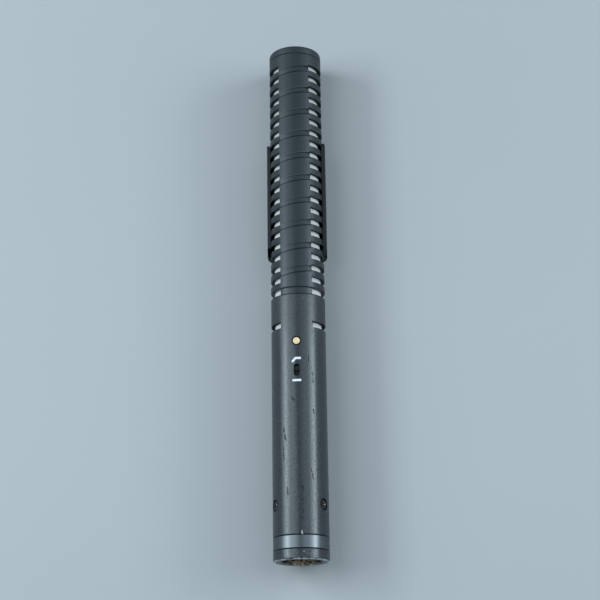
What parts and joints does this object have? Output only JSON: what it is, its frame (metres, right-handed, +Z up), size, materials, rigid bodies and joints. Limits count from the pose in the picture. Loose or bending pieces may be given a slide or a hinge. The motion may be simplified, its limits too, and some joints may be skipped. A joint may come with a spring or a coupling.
{
  "type": "short shotgun microphone",
  "caption": "Slim black shotgun condenser microphone with a side-slotted front tube, recessed low-cut switch, male audio connector and a sliding spring clip.",
  "frame": {"origin": "on the resting plane under the clip's foot, below the middle of the microphone's length", "axes": "+Y from the connector to the nose along the microphone, +Z up through the switch, +X to the right seen from the connector"},
  "size_m": [0.0246, 0.217, 0.0237],
  "materials": {
    "collar_black": "satin black coating, worn to bare metal on the rim",
    "tube_satin_black": "satin black coating",
    "tube_matte_black": "matte black coating",
    "ring_gunmetal": "semi-gloss gunmetal",
    "clip_black": "moulded matte black plastic",
    "knob_black": "matte black plastic",
    "cloth_cream": "fine woven acoustic cloth",
    "cloth_black": "fine black acoustic cloth",
    "grille_black": "black wire grille",
    "marker_brass": "turned brass",
    "contact_gold": "gold-plated brass",
    "carrier_brown": "dark brown moulded plastic",
    "plastic_black": "moulded black plastic",
    "plastic_cream": "cream insulating plastic",
    "screw_black": "black oxide steel",
    "switch_steel": "pressed steel",
    "capsule_metal": "turned aluminium",
    "film_gold": "metallised film",
    "board_green": "solder-masked board",
    "capacitor_blue": "sleeved can",
    "capacitor_red": "dipped film capacitor",
    "resistor_tan": "lacquered resistor"
  },
  "bodies": {
    "microphone": {"connector_shell": "collar_black", "xlr_insert": "carrier_brown", "xlr_pins": "contact_gold", "ground_ring": "contact_gold", "marker_ring": "ring_gunmetal", "body_screws": "screw_black", "body_tube": "tube_satin_black", "marker_pin": "marker_brass", "switch_case": "switch_steel", "circuit_board": "board_green", "rear_bulkhead": "plastic_black", "front_bulkhead": "plastic_black", "electrolytic_capacitors": "capacitor_blue", "film_capacitors": "capacitor_red", "transistors": "plastic_black", "resistors": "resistor_tan", "rear_cloth": "cloth_cream", "capsule_housing": "capsule_metal", "diaphragm_ring": "contact_gold", "diaphragm": "film_gold", "spacer_ring": "plastic_cream", "backplate": "contact_gold", "capsule_insulator": "plastic_cream", "clamp_ring": "capsule_metal", "contact_pin": "contact_gold", "joint_sleeve": "tube_matte_black", "slotted_tube": "tube_matte_black", "acoustic_cloth": "cloth_cream", "nose_cap": "tube_matte_black", "nose_grille": "grille_black", "nose_cloth": "cloth_black", "retaining_ring": "capsule_metal"},
    "switch": {"switch_slider": "knob_black"},
    "clip": {"snap_clip": "clip_black"}
  },
  "joints": [
    {"name": "switch_slide", "type": "slide", "parent": "microphone", "child": "switch", "axis": [0, 1, 0], "range_m": [-0.0018, 0]},
    {"name": "clip_slide", "type": "slide", "parent": "microphone", "child": "clip", "axis": [0, 1, 0], "range_m": [-0.115, 0.038]}
  ]
}
